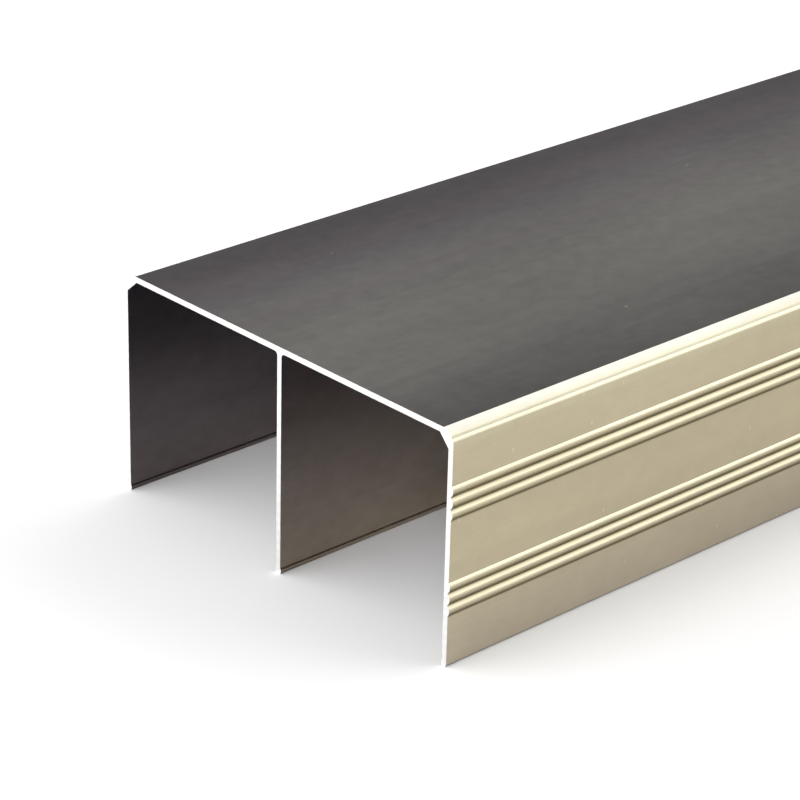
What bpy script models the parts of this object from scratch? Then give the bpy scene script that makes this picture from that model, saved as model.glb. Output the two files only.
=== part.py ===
"""Double top track: one length of extruded aluminium with two open channels side by side.

The section is a flat top plate with three flanges standing down from it, so that two equal
channels open downwards. The right-hand flange is the fascia: it carries two bands of rounded
ribs, and above them a quarter round, a fine groove and a bevel lead up to the top plate.

Frame: X across the section with the fascia at +X, Y along the length, Z up. The origin is
midway between the outer flanges and midway along the length, level with the feet of the flanges.
"""
import math

import bpy
import bmesh
from mathutils import Matrix

for stray in list(bpy.data.objects):
    bpy.data.objects.remove(stray, do_unlink=True)

MM = 0.001

# Overall size
LENGTH = 1000.0 * MM
WIDTH = 80.0 * MM
HEIGHT = 40.5 * MM

# Walls
TOP_WALL = 1.0 * MM
FLANGE_WALL = 1.0 * MM
WEB_FILLET = 0.7 * MM

# Back corner, where the bevel keeps the wall even
BACK_BEVEL_WIDTH = 3.1 * MM
BACK_BEVEL_DROP = 2.7 * MM

# Front corner, from the top plate down to the fascia
FRONT_BEVEL_WIDTH = 2.2 * MM
FRONT_BEVEL_DROP = 0.8 * MM
FRONT_BEVEL_SET_BACK = 0.25 * MM
GROOVE_WIDTH = 0.4 * MM
GROOVE_DEPTH = 0.25 * MM
QUARTER_ROUND = 0.95 * MM
QUARTER_ROUND_SET_BACK = 0.45 * MM
INNER_CHAMFER_WIDTH = 2.0 * MM
INNER_CHAMFER_DROP = 2.2 * MM

# Ribs on the fascia: two bands, each measured to its top edge from the feet
RIBS_IN_BAND = 3
RIB_PITCH = 2.05 * MM
RIB_PROUD = 0.3 * MM
CREASE_DEPTH = 0.2 * MM
UPPER_BAND_TOP = 31.3 * MM
LOWER_BAND_TOP = 14.8 * MM

# Feet of the flanges
FOOT_BEAD_HEIGHT = 1.0 * MM
FOOT_BEAD_PROUD = 0.2 * MM
FOOT_EDGE = 0.3 * MM

RIB_STEPS = 12
ROUND_STEPS = 8
SMOOTH_BELOW = math.radians(28.0)

# Stands a flat XY outline up in XZ, so that its thickness runs along Y
UPRIGHT = Matrix(((1, 0, 0, 0), (0, 0, -1, 0), (0, 1, 0, 0), (0, 0, 0, 1)))


def arc(centre, radius, start, end, steps):
    """Points along an arc of the section, both ends included; angles in radians."""
    cx, cz = centre
    return [
        (cx + radius * math.cos(start + (end - start) * i / steps),
         cz + radius * math.sin(start + (end - start) * i / steps))
        for i in range(steps + 1)
    ]


def bead(face, z_from, z_to, proud, side, steps):
    """A rounded bead on an upright face, from z_from to z_to; side is +1 where it stands to +X."""
    half = abs(z_to - z_from) / 2
    radius = (half * half + proud * proud) / (2 * proud)
    lean = math.asin(half / radius)
    turn = lean if z_to > z_from else -lean
    points = arc((0.0, 0.0), radius, -turn, turn, steps)
    inset = radius - proud
    middle = (z_from + z_to) / 2
    return [(face + side * (x - inset), middle + z) for x, z in points]


def ribs(face, band_top):
    """One band of round ribs, from its foot up; the creases between them are cut into the face."""
    half = RIB_PITCH / 2
    rise = RIB_PROUD + CREASE_DEPTH
    radius = (half * half + rise * rise) / (2 * rise)
    to_crease = math.asin(half / radius)
    to_face = math.acos(1 - RIB_PROUD / radius)
    line = []
    for rib in reversed(range(RIBS_IN_BAND)):
        middle = band_top - radius * math.sin(to_face) - rib * RIB_PITCH
        low = to_face if rib == RIBS_IN_BAND - 1 else to_crease
        high = to_face if rib == 0 else to_crease
        points = arc((face + RIB_PROUD - radius, middle), radius, -low, high, RIB_STEPS)
        line += points if not line else points[1:]
    return line


def fascia():
    """The outer face of the front flange, from its foot up to the top plate."""
    face = WIDTH / 2
    line = [(face - FOOT_EDGE, 0.0), (face, FOOT_EDGE)]
    line += ribs(face, LOWER_BAND_TOP) + ribs(face, UPPER_BAND_TOP)
    bevel_foot = HEIGHT - FRONT_BEVEL_DROP
    groove_foot = bevel_foot - GROOVE_WIDTH
    lip = face - FRONT_BEVEL_SET_BACK
    # The round leaves the fascia upright and leans back until it reaches the groove.
    lean = math.acos(1 - QUARTER_ROUND_SET_BACK / QUARTER_ROUND)
    centre_z = groove_foot - QUARTER_ROUND * math.sin(lean)
    line += arc((face - QUARTER_ROUND, centre_z), QUARTER_ROUND, 0.0, lean, ROUND_STEPS)
    line += [
        (lip - GROOVE_DEPTH, (bevel_foot + groove_foot) / 2),
        (lip, bevel_foot),
        (face - FRONT_BEVEL_WIDTH, HEIGHT),
    ]
    return line


def back():
    """The back corner and the plain back flange, from the top plate down to the foot."""
    face = -WIDTH / 2
    return [
        (face + BACK_BEVEL_WIDTH, HEIGHT),
        (face, HEIGHT - BACK_BEVEL_DROP),
        (face, FOOT_EDGE),
        (face + FOOT_EDGE, 0.0),
    ]


def back_channel():
    """The inside of the back channel: up the back flange, across, and down the web."""
    wall = -WIDTH / 2 + FLANGE_WALL
    web = -FLANGE_WALL / 2
    ceiling = HEIGHT - TOP_WALL
    slope = math.atan2(BACK_BEVEL_DROP, BACK_BEVEL_WIDTH)
    # The inner bevel runs parallel to the outer one, one wall further in.
    inner_x = -WIDTH / 2 + BACK_BEVEL_WIDTH + TOP_WALL * math.tan(slope / 2)
    inner_z = HEIGHT - BACK_BEVEL_DROP - FLANGE_WALL * (1 - math.sin(slope)) / math.cos(slope)
    line = bead(wall, 0.0, FOOT_BEAD_HEIGHT, FOOT_BEAD_PROUD, 1, ROUND_STEPS)
    line += [(wall, inner_z), (inner_x, ceiling)]
    line += arc((web - WEB_FILLET, ceiling - WEB_FILLET), WEB_FILLET, math.pi / 2, 0.0, ROUND_STEPS)
    line += bead(web, FOOT_BEAD_HEIGHT, 0.0, FOOT_BEAD_PROUD, -1, ROUND_STEPS)
    return line


def front_channel():
    """The inside of the front channel: up the web, across, and down behind the fascia."""
    web = FLANGE_WALL / 2
    wall = WIDTH / 2 - FLANGE_WALL
    ceiling = HEIGHT - TOP_WALL
    line = bead(web, 0.0, FOOT_BEAD_HEIGHT, FOOT_BEAD_PROUD, 1, ROUND_STEPS)
    line += arc((web + WEB_FILLET, ceiling - WEB_FILLET), WEB_FILLET, math.pi, math.pi / 2, ROUND_STEPS)
    line += [(wall - INNER_CHAMFER_WIDTH, ceiling), (wall, ceiling - INNER_CHAMFER_DROP)]
    line += bead(wall, FOOT_BEAD_HEIGHT, 0.0, FOOT_BEAD_PROUD, -1, ROUND_STEPS)
    return line


def collection(name):
    made = bpy.data.collections.new(name)
    bpy.context.scene.collection.children.link(made)
    return made


def extrude(name, outline, length, home):
    """A solid bar: the closed outline lies in XZ and runs along Y, half the length each way."""
    curve = bpy.data.curves.new(name + "_outline", "CURVE")
    curve.dimensions = "2D"
    curve.fill_mode = "BOTH"
    curve.extrude = length / 2
    spline = curve.splines.new("POLY")
    spline.points.add(len(outline) - 1)
    for point, (x, z) in zip(spline.points, outline):
        point.co = (x, z, 0.0, 1.0)
    spline.use_cyclic_u = True
    flat = bpy.data.objects.new(name + "_outline", curve)
    home.objects.link(flat)

    graph = bpy.context.evaluated_depsgraph_get()
    mesh = bpy.data.meshes.new_from_object(flat.evaluated_get(graph))
    mesh.name = name
    mesh.transform(UPRIGHT)
    shape = bmesh.new()
    shape.from_mesh(mesh)
    bmesh.ops.remove_doubles(shape, verts=shape.verts, dist=0.000002)
    bmesh.ops.recalc_face_normals(shape, faces=shape.faces)
    shape.to_mesh(mesh)
    shape.free()
    solid = bpy.data.objects.new(name, mesh)
    home.objects.link(solid)
    bpy.data.objects.remove(flat, do_unlink=True)
    mesh.shade_smooth()
    mesh.set_sharp_from_angle(angle=SMOOTH_BELOW)
    return solid


def anodised(name, colour, roughness, metallic):
    made = bpy.data.materials.new(name)
    made.use_nodes = True
    shader = made.node_tree.nodes["Principled BSDF"]
    shader.inputs["Base Color"].default_value = (*colour, 1.0)
    shader.inputs["Roughness"].default_value = roughness
    shader.inputs["Metallic"].default_value = metallic
    return made


home = collection("double top track")
section = fascia() + back() + back_channel() + front_channel()
track = extrude("double_track_profile", section, LENGTH, home)
track.data.materials.append(anodised("champagne anodised aluminium", (0.56, 0.51, 0.40), 0.34, 0.9))
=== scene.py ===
"""Looks of the double top track: camera, floor, studio light and the finish of the aluminium, with
painted shade, reflection and highlights in its colour.
"""
import math

import bpy
from mathutils import Matrix, Vector


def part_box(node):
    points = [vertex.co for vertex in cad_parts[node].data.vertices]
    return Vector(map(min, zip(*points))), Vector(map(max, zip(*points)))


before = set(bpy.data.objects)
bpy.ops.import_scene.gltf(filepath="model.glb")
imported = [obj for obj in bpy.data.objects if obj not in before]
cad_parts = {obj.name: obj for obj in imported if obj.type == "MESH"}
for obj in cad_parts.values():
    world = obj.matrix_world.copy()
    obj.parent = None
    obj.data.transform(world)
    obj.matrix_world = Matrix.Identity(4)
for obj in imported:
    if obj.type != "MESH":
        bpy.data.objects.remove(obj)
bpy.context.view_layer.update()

MM = 0.001
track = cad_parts["double_track_profile"]
low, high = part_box("double_track_profile")

# Camera: in front of the cut end and to the right of the fascia, looking down along the track
LENS = 134.576
SENSOR = 36.0
EYE = Vector((326.95, -780.0, 234.22)) * MM
HEADING = math.radians(46.865)
TILT = math.radians(64.792)
ROLL = math.radians(1.463)

# Floor: matt paper, with a little light of its own where it is seen straight or in the metal
FLOOR_HALF = 20.0
FLOOR_COLOUR = (0.90, 0.90, 0.90)
FLOOR_LIFT = 0.06

# Studio light, all of it in the world: a pale room with soft windows in it. Angles are in degrees,
# and azimuth runs from along the track (+Y) round to its right (+X). A window is (azimuths,
# heights, edge, strength)
ROOM = 0.25
WINDOWS = (
    ((-174.0, -6.0), (62.0, 120.0), 12.0, 1.8),
    ((8.0, 64.0), (-30.0, 46.0), 12.0, 2.25),
    ((-30.0, 8.0), (34.0, 60.0), 12.0, 2.0),
    ((-110.0, -25.0), (0.0, 60.0), 20.0, 0.16),
    ((130.0, 260.0), (-5.0, 50.0), 16.0, 2.4),
)

# Which finish a face has: by its place across the track, and by the part of its normal that
# points across, along or up
FASCIA_FROM = high.x - 2.51 * MM
BACK_FACE_TO = low.x + 3.11 * MM
FACES_OUT = 0.05
FACES_ALONG = 0.9
FACES_UP = 0.9

# How far a face leans back to look up, from where its tone starts to change to its full tone
LEAN_FROM = 0.05
LEAN_TO = 0.6

# The champagne finish of the outer faces, with painted contact shade as a dark edge along the foot
CHAMPAGNE = (0.488, 0.429, 0.302)
CHAMPAGNE_AT_FOOT = (0.500, 0.442, 0.345)
FOOT_UP_TO = 16.0 * MM
FOOT_EDGE_FROM = 0.15 * MM
FOOT_EDGE_TO = 0.45 * MM
FOOT_EDGE_SHADE = 0.15

# Painted highlight: a paler tone on the faces that lean back, which grows paler still where the
# bevel nears the plate, and reaches a little way down the fascia
LIP_HIGHLIGHT = (0.595, 0.56, 0.41)
LIP_HIGHLIGHT_AT_PLATE = (0.63, 0.615, 0.55)
LIP_PALE_TO = high.x - 1.7 * MM
LIP_FULL_FROM = high.x - 0.4 * MM
GROOVE_FROM = high.z - 1.28 * MM
LIP_HIGHLIGHT_FADES_FROM = high.z - 3.5 * MM
LIP_HIGHLIGHT_FADE = 0.45

# The ribs get painted shade on their undersides and beside the creases between them. Both are
# given in rib pitches up from a crease, and each crease is found from the one below the top rib
BAND_TOPS = (14.8 * MM, 31.3 * MM)
BAND_HEIGHT = 5.76 * MM
TOP_RIB_HEIGHT = 1.856 * MM
RIB_PITCH = 2.05 * MM
UNDERSIDE_SHADE = (0.23, 0.20, 0.118)
UNDERSIDE_FROM = 0.18
UNDERSIDE_TO = 0.62
CREASE_SIDE_FROM = 0.76
CREASE_SIDE_SHADE = 0.9
TOP_RIB_SHADED_TO = 0.7
BELOW_BAND = 0.35 * MM
BELOW_BAND_SHADE = 0.85

# The plate as painted reflection: a darker, greyer copy of the champagne finish, lightest just right
# of the web, with a cooler tint to its left and a faint darker line over the web
PLATE_COOL = (0.397, 0.363, 0.382)
PLATE_WARM = (0.397, 0.378, 0.361)
TINT_FROM = -26.0 * MM
TINT_TO = -4.0 * MM
PLATE_MIDDLE = 4.0 * MM
PLATE_REACH = 37.0 * MM
PLATE_FALL = 1.3
TONE_AT_EDGE = 0.55
WEB_LINE_HALF = 0.9 * MM
WEB_LINE_TONE = 0.94

# Painted shade inside the channels, as a dark copy of the finish: cooler at the ceiling, darker on
# the back wall and near the sawn ends, paler further in, and painted light on top of the beads along
# the feet
FRONT_FOOT = (0.325, 0.276, 0.215)
FRONT_CEILING = (0.285, 0.250, 0.278)
BACK_FOOT = (0.165, 0.140, 0.135)
BACK_CEILING = (0.178, 0.168, 0.205)
BACK_WALL_TO = -30.0 * MM
ENDS_SHADE_REACH = 30.0 * MM
TONE_AT_END = 0.76
TONE_INSIDE = 1.18
BEAD_PAINTED_LIGHT = 2.2

# The sawn ends: bare metal with the faint arcs of the saw
SAWN = (0.92, 0.92, 0.91)
SAWN_TONE = 0.98
SAWN_ROUGHNESS = 0.5
SAW_CENTRE = (0.0, 0.0, 180.0 * MM)
SAW_MARK_PITCH = 0.55 * MM
SAW_MARK_DEPTH = 0.05

# Noise in the film: cells per metre along X, Y and Z, then detail and roughness of the noise
DIE_LINES = ((3600.0, 2.5, 3600.0), 3.0, 0.6)
DIE_BANDS = ((110.0, 0.9, 110.0), 2.0, 0.5)
CLOUDS = ((60.0, 28.0, 60.0), 2.0, 0.5)
MOTTLE = ((420.0, 260.0, 420.0), 3.0, 0.6)
GRAIN = ((2600.0, 2600.0, 2600.0), 2.0, 0.6)
SAW_WEAR = ((900.0, 900.0, 900.0), 2.0, 0.6)
NOISE_LOW = 0.3
NOISE_HIGH = 0.7

# How far each noise moves the tone either way; the outer faces show less of the blotches
CLOUD_TONE = 0.06
MOTTLE_TONE = 0.065
BLOTCHES_OUTSIDE = 0.45
LINE_TONE = 0.035
BAND_TONE = 0.035
GRAIN_TONE = 0.02

# Handling marks: cells per metre along X, Y and Z, share of bare cells, and size in a cell.
# The hairlines stand upright on the side faces
SPECKS = ((420.0, 420.0, 420.0), 0.98, 0.16)
HAIRLINES = ((900.0, 900.0, 210.0), 0.985, 0.10)
SIDE_FACE_LEAN = 0.5
MARK = (0.75, 0.73, 0.68)
MARK_STRENGTH = 0.55

# Gloss: rougher where a die line is worn, and a lower tint at grazing angles
SMOOTH_LINE = 0.30
WORN_LINE = 0.36
GRAIN_ROUGHNESS = 0.02
EDGE_ON_TINT = 0.5
LINE_BUMP = 0.15
LINE_DEPTH = 0.02 * MM


def put(name, data):
    made = bpy.data.objects.new(name, data)
    bpy.context.scene.collection.objects.link(made)
    return made


class Nodes:
    """A node tree that is written as calls: each call adds a node and returns its output."""

    def __init__(self, tree):
        self.tree = tree
        tree.nodes.clear()

    def add(self, kind, settings=None, inputs=None):
        """The node itself; inputs go by name or number, each a value or another node's output."""
        made = self.tree.nodes.new(kind)
        for key, value in (settings or {}).items():
            setattr(made, key, value)
        for key, value in (inputs or {}).items():
            if isinstance(value, bpy.types.NodeSocket):
                self.tree.links.new(value, made.inputs[key])
            else:
                made.inputs[key].default_value = value
        return made

    def split(self, vector):
        return self.add("ShaderNodeSeparateXYZ", inputs={0: vector}).outputs

    def math(self, operation, *values, clamp=False):
        settings = {"operation": operation, "use_clamp": clamp}
        return self.add("ShaderNodeMath", settings, dict(enumerate(values))).outputs[0]

    def vector(self, operation, *values):
        made = self.add("ShaderNodeVectorMath", {"operation": operation}, dict(enumerate(values)))
        return made.outputs["Value" if operation == "LENGTH" else "Vector"]

    def ramp(self, value, from_low, from_high, to_low=0.0, to_high=1.0, smooth=False):
        made = self.add(
            "ShaderNodeMapRange",
            {"interpolation_type": "SMOOTHSTEP" if smooth else "LINEAR"},
            {"Value": value, "From Min": from_low, "From Max": from_high,
             "To Min": to_low, "To Max": to_high},
        )
        return made.outputs["Result"]

    def mix(self, factor, a, b):
        """Colour a where the factor is 0, and b where it is 1."""
        made = self.add("ShaderNodeMix", {"data_type": "RGBA"}, {0: factor})
        for socket, colour in ((made.inputs[6], a), (made.inputs[7], b)):
            if isinstance(colour, bpy.types.NodeSocket):
                self.tree.links.new(colour, socket)
            else:
                socket.default_value = (*colour, 1.0)
        return made.outputs[2]

    def scaled(self, colour, amount):
        inputs = {0: colour, "Scale": amount}
        return self.add("ShaderNodeVectorMath", {"operation": "SCALE"}, inputs).outputs["Vector"]

    def noise(self, place, cells, detail, roughness):
        inputs = {
            "Vector": self.vector("MULTIPLY", place, cells),
            "Scale": 1.0, "Detail": detail, "Roughness": roughness,
        }
        return self.add("ShaderNodeTexNoise", inputs=inputs).outputs["Fac"]

    def sway(self, noise, amount):
        """The noise as a change of at most the amount, up or down."""
        return self.ramp(noise, NOISE_LOW, NOISE_HIGH, -amount, amount)

    def sparse(self, place, cells, rarity, size):
        """1 on small marks, one to a cell, with the share of the cells given by rarity left bare."""
        stretched = self.vector("MULTIPLY", place, cells)
        cell = self.add("ShaderNodeTexVoronoi", inputs={"Vector": stretched, "Scale": 1.0})
        chance = self.add("ShaderNodeSeparateColor", inputs={0: cell.outputs["Color"]}).outputs[0]
        mark = self.ramp(cell.outputs["Distance"], size, 0.5 * size)
        return self.math("MULTIPLY", mark, self.math("GREATER_THAN", chance, rarity))


class Spot:
    """Where a point is on the track, and how its face lies, as outputs of nodes."""

    def __init__(self, nodes):
        self.place = nodes.add("ShaderNodeTexCoord").outputs["Object"]
        self.x, self.y, self.z = nodes.split(self.place)
        facing = nodes.add("ShaderNodeNewGeometry").outputs["True Normal"]
        across, along, self.up = nodes.split(facing)
        self.front = nodes.math(
            "MULTIPLY",
            nodes.math("GREATER_THAN", self.x, FASCIA_FROM),
            nodes.math("GREATER_THAN", across, FACES_OUT),
        )
        back = nodes.math(
            "MULTIPLY",
            nodes.math("LESS_THAN", self.x, BACK_FACE_TO),
            nodes.math("LESS_THAN", across, -FACES_OUT),
        )
        self.outside = nodes.math("MAXIMUM", self.front, back)
        self.sawn = nodes.math("GREATER_THAN", nodes.math("ABSOLUTE", along), FACES_ALONG)


def camera():
    eye = put("camera", bpy.data.cameras.new("camera"))
    eye.data.sensor_width = SENSOR
    eye.data.lens = LENS
    eye.data.clip_start = 10.0 * MM
    turn = Matrix.Rotation(HEADING, 4, "Z") @ Matrix.Rotation(TILT, 4, "X")
    eye.matrix_world = Matrix.Translation(EYE) @ turn @ Matrix.Rotation(ROLL, 4, "Z")
    bpy.context.scene.camera = eye


def floor():
    mesh = bpy.data.meshes.new("floor")
    f = FLOOR_HALF
    mesh.from_pydata([(-f, -f, 0), (f, -f, 0), (f, f, 0), (-f, f, 0)], [], [(0, 1, 2, 3)])
    made = put("floor", mesh)
    made.location.z = low.z

    paper = bpy.data.materials.new("white_paper")
    paper.use_nodes = True
    nodes = Nodes(paper.node_tree)
    path = nodes.add("ShaderNodeLightPath")
    seen = nodes.math("ADD", path.outputs["Is Camera Ray"], path.outputs["Is Glossy Ray"])
    seen = nodes.math("ADD", seen, path.outputs["Is Transmission Ray"], clamp=True)
    matt = nodes.add("ShaderNodeBsdfDiffuse", inputs={"Color": (*FLOOR_COLOUR, 1.0)})
    lift = nodes.add(
        "ShaderNodeEmission",
        inputs={"Color": (1, 1, 1, 1), "Strength": nodes.math("MULTIPLY", seen, FLOOR_LIFT)},
    )
    both = nodes.add("ShaderNodeAddShader", inputs={0: matt.outputs[0], 1: lift.outputs[0]})
    nodes.add("ShaderNodeOutputMaterial", inputs={"Surface": both.outputs[0]})
    mesh.materials.append(paper)


def studio():
    world = bpy.data.worlds.new("studio")
    bpy.context.scene.world = world
    world.use_nodes = True
    nodes = Nodes(world.node_tree)
    x, y, z = nodes.split(nodes.add("ShaderNodeTexCoord").outputs["Generated"])
    azimuth = nodes.math("DEGREES", nodes.math("ARCTAN2", x, y))
    height = nodes.math("DEGREES", nodes.math("ARCSINE", z))
    level = ROOM
    for azimuths, heights, edge, strength in WINDOWS:
        middle = sum(azimuths) / 2
        half = azimuths[1] - middle
        soft = edge / 2
        # Turned so that the window's middle is at zero, the azimuth never wraps inside it
        turned = nodes.math("WRAP", nodes.math("SUBTRACT", azimuth, middle), 180.0, -180.0)
        aside = nodes.math("ABSOLUTE", turned)
        shape = nodes.ramp(aside, half - soft, half + soft, 1.0, 0.0, smooth=True)
        for limit, out in ((heights[0], -soft), (heights[1], soft)):
            within = nodes.ramp(height, limit - out, limit + out, 1.0, 0.0, smooth=True)
            shape = nodes.math("MULTIPLY", shape, within)
        level = nodes.math("MULTIPLY_ADD", shape, strength, level)
    sky = nodes.add("ShaderNodeBackground", inputs={"Color": (1, 1, 1, 1), "Strength": level})
    nodes.add("ShaderNodeOutputWorld", inputs={"Surface": sky.outputs[0]})


def plate_colour(nodes, spot):
    aside = nodes.math("ABSOLUTE", nodes.math("SUBTRACT", spot.x, PLATE_MIDDLE))
    aside = nodes.math("POWER", nodes.math("DIVIDE", aside, PLATE_REACH), PLATE_FALL)
    # Painted reflection: lightest just right of the web, darker towards both edges
    reflection_dome = nodes.ramp(aside, 0.0, 1.0, 1.0, TONE_AT_EDGE)
    from_web = nodes.math("ABSOLUTE", spot.x)
    over_web = nodes.ramp(from_web, 0.0, WEB_LINE_HALF, WEB_LINE_TONE, 1.0, smooth=True)
    colour = nodes.mix(nodes.ramp(spot.x, TINT_FROM, TINT_TO), PLATE_COOL, PLATE_WARM)
    return nodes.scaled(colour, nodes.math("MULTIPLY", reflection_dome, over_web))


def channel_colour(nodes, spot):
    up_wall = nodes.ramp(spot.z, 0.0, high.z)
    colour = nodes.mix(
        nodes.math("LESS_THAN", spot.x, BACK_WALL_TO),
        nodes.mix(up_wall, FRONT_FOOT, FRONT_CEILING),
        nodes.mix(up_wall, BACK_FOOT, BACK_CEILING),
    )
    # Painted shade near each sawn end, and painted light further in
    from_end = nodes.math("SUBTRACT", high.y, nodes.math("ABSOLUTE", spot.y))
    colour = nodes.scaled(colour, nodes.ramp(from_end, 0.0, ENDS_SHADE_REACH, TONE_AT_END, TONE_INSIDE))
    # Painted light on the faces that lean up, such as the tops of the beads
    return nodes.scaled(colour, nodes.ramp(spot.up, LEAN_FROM, LEAN_TO, 1.0, BEAD_PAINTED_LIGHT))


def rib_shade(nodes, z, band_top):
    """How much painted shade one band of ribs gets at this height, from 0 to 1."""
    foot = band_top - BAND_HEIGHT
    pitches = nodes.math("SUBTRACT", z, band_top - TOP_RIB_HEIGHT)
    pitches = nodes.math("DIVIDE", pitches, RIB_PITCH)
    on_rib = nodes.math("FRACT", pitches)
    under = nodes.ramp(on_rib, UNDERSIDE_FROM, UNDERSIDE_TO, 1.0, 0.0, smooth=True)
    beside = nodes.ramp(on_rib, CREASE_SIDE_FROM, 1.0, 0.0, CREASE_SIDE_SHADE)
    in_band = nodes.math(
        "MULTIPLY",
        nodes.math("GREATER_THAN", z, foot),
        nodes.math("LESS_THAN", pitches, TOP_RIB_SHADED_TO),
    )
    below = nodes.math(
        "MULTIPLY",
        nodes.math("LESS_THAN", z, foot),
        nodes.ramp(z, foot - BELOW_BAND, foot, 0.0, BELOW_BAND_SHADE),
    )
    return nodes.math("MULTIPLY_ADD", nodes.math("MAXIMUM", under, beside), in_band, below)


def outer_colour(nodes, spot):
    side = nodes.mix(nodes.ramp(spot.z, 0.0, FOOT_UP_TO), CHAMPAGNE_AT_FOOT, CHAMPAGNE)
    # Painted highlight: faces that lean up, and everything above the groove, take the paler tone
    lip_highlight = nodes.mix(nodes.ramp(spot.x, LIP_PALE_TO, LIP_FULL_FROM), LIP_HIGHLIGHT_AT_PLATE, LIP_HIGHLIGHT)
    leans = nodes.ramp(spot.up, LEAN_FROM, LEAN_TO)
    is_lip_highlight = nodes.math("MAXIMUM", leans, nodes.math("GREATER_THAN", spot.z, GROOVE_FROM))
    highlight_fade = nodes.ramp(spot.z, LIP_HIGHLIGHT_FADES_FROM, GROOVE_FROM, 0.0, LIP_HIGHLIGHT_FADE)
    colour = nodes.mix(nodes.math("MAXIMUM", is_lip_highlight, highlight_fade), side, lip_highlight)
    # Painted shade: a dark edge along the foot, where the face meets the floor
    painted_foot_shade = nodes.ramp(spot.z, FOOT_EDGE_FROM, FOOT_EDGE_TO, FOOT_EDGE_SHADE, 1.0, smooth=True)
    colour = nodes.scaled(colour, painted_foot_shade)
    # Painted shade on the ribs of the fascia
    for band_top in BAND_TOPS:
        shade = rib_shade(nodes, spot.z, band_top)
        colour = nodes.mix(nodes.math("MULTIPLY", shade, spot.front), colour, UNDERSIDE_SHADE)
    return colour


def film_tone(nodes, spot, lines, grain):
    """Marks of the die, all along the length, and the blotches and grain of the film."""
    clouds = nodes.sway(nodes.noise(spot.place, *CLOUDS), CLOUD_TONE)
    mottle = nodes.sway(nodes.noise(spot.place, *MOTTLE), MOTTLE_TONE)
    share = nodes.ramp(spot.outside, 0.0, 1.0, 1.0, BLOTCHES_OUTSIDE)
    tone = nodes.math("MULTIPLY_ADD", nodes.math("ADD", clouds, mottle), share, 1.0)
    bands = nodes.noise(spot.place, *DIE_BANDS)
    for noise, amount in ((lines, LINE_TONE), (bands, BAND_TONE), (grain, GRAIN_TONE)):
        tone = nodes.math("ADD", tone, nodes.sway(noise, amount))
    return tone


def handling_marks(nodes, spot):
    hairlines = nodes.sparse(spot.place, *HAIRLINES)
    on_side = nodes.math("LESS_THAN", nodes.math("ABSOLUTE", spot.up), SIDE_FACE_LEAN)
    hairlines = nodes.math("MULTIPLY", hairlines, on_side)
    return nodes.math("MAXIMUM", nodes.sparse(spot.place, *SPECKS), hairlines)


def sawn_colour(nodes, spot):
    from_blade = nodes.vector("LENGTH", nodes.vector("SUBTRACT", spot.place, SAW_CENTRE))
    arcs = nodes.math("SINE", nodes.math("MULTIPLY", from_blade, math.tau / SAW_MARK_PITCH))
    arcs = nodes.math("MULTIPLY", arcs, nodes.noise(spot.place, *SAW_WEAR))
    return nodes.scaled(SAWN, nodes.math("MULTIPLY_ADD", arcs, SAW_MARK_DEPTH, SAWN_TONE))


def aluminium():
    metal = bpy.data.materials.new("champagne_anodised_aluminium")
    metal.use_nodes = True
    nodes = Nodes(metal.node_tree)
    spot = Spot(nodes)
    lines = nodes.noise(spot.place, *DIE_LINES)
    grain = nodes.noise(spot.place, *GRAIN)

    inside = channel_colour(nodes, spot)
    is_plate = nodes.math("GREATER_THAN", spot.up, FACES_UP)
    finish_and_painted_light = nodes.mix(is_plate, inside, plate_colour(nodes, spot))
    finish_and_painted_light = nodes.mix(spot.outside, finish_and_painted_light, outer_colour(nodes, spot))
    finish_and_painted_light = nodes.scaled(finish_and_painted_light, film_tone(nodes, spot, lines, grain))
    marks = nodes.math("MULTIPLY", handling_marks(nodes, spot), MARK_STRENGTH)
    finish_and_painted_light = nodes.mix(marks, finish_and_painted_light, MARK)
    finish_and_painted_light = nodes.mix(spot.sawn, finish_and_painted_light, sawn_colour(nodes, spot))

    worn = nodes.ramp(lines, NOISE_LOW, NOISE_HIGH, SMOOTH_LINE, WORN_LINE)
    roughness = nodes.math("ADD", worn, nodes.sway(grain, GRAIN_ROUGHNESS))
    rougher = nodes.math("SUBTRACT", SAWN_ROUGHNESS, roughness)
    roughness = nodes.math("MULTIPLY_ADD", rougher, spot.sawn, roughness)
    bump = nodes.add(
        "ShaderNodeBump",
        inputs={"Strength": LINE_BUMP, "Distance": LINE_DEPTH, "Height": lines},
    )
    shader = nodes.add(
        "ShaderNodeBsdfPrincipled",
        inputs={
            "Base Color": finish_and_painted_light,
            "Metallic": 1.0,
            "Roughness": roughness,
            "Specular Tint": (EDGE_ON_TINT, EDGE_ON_TINT, EDGE_ON_TINT, 1.0),
            "Normal": bump.outputs[0],
        },
    )
    nodes.add("ShaderNodeOutputMaterial", inputs={"Surface": shader.outputs[0]})
    track.material_slots[0].material = metal


camera()
floor()
studio()
aluminium()
bpy.context.scene.view_settings.view_transform = "Standard"
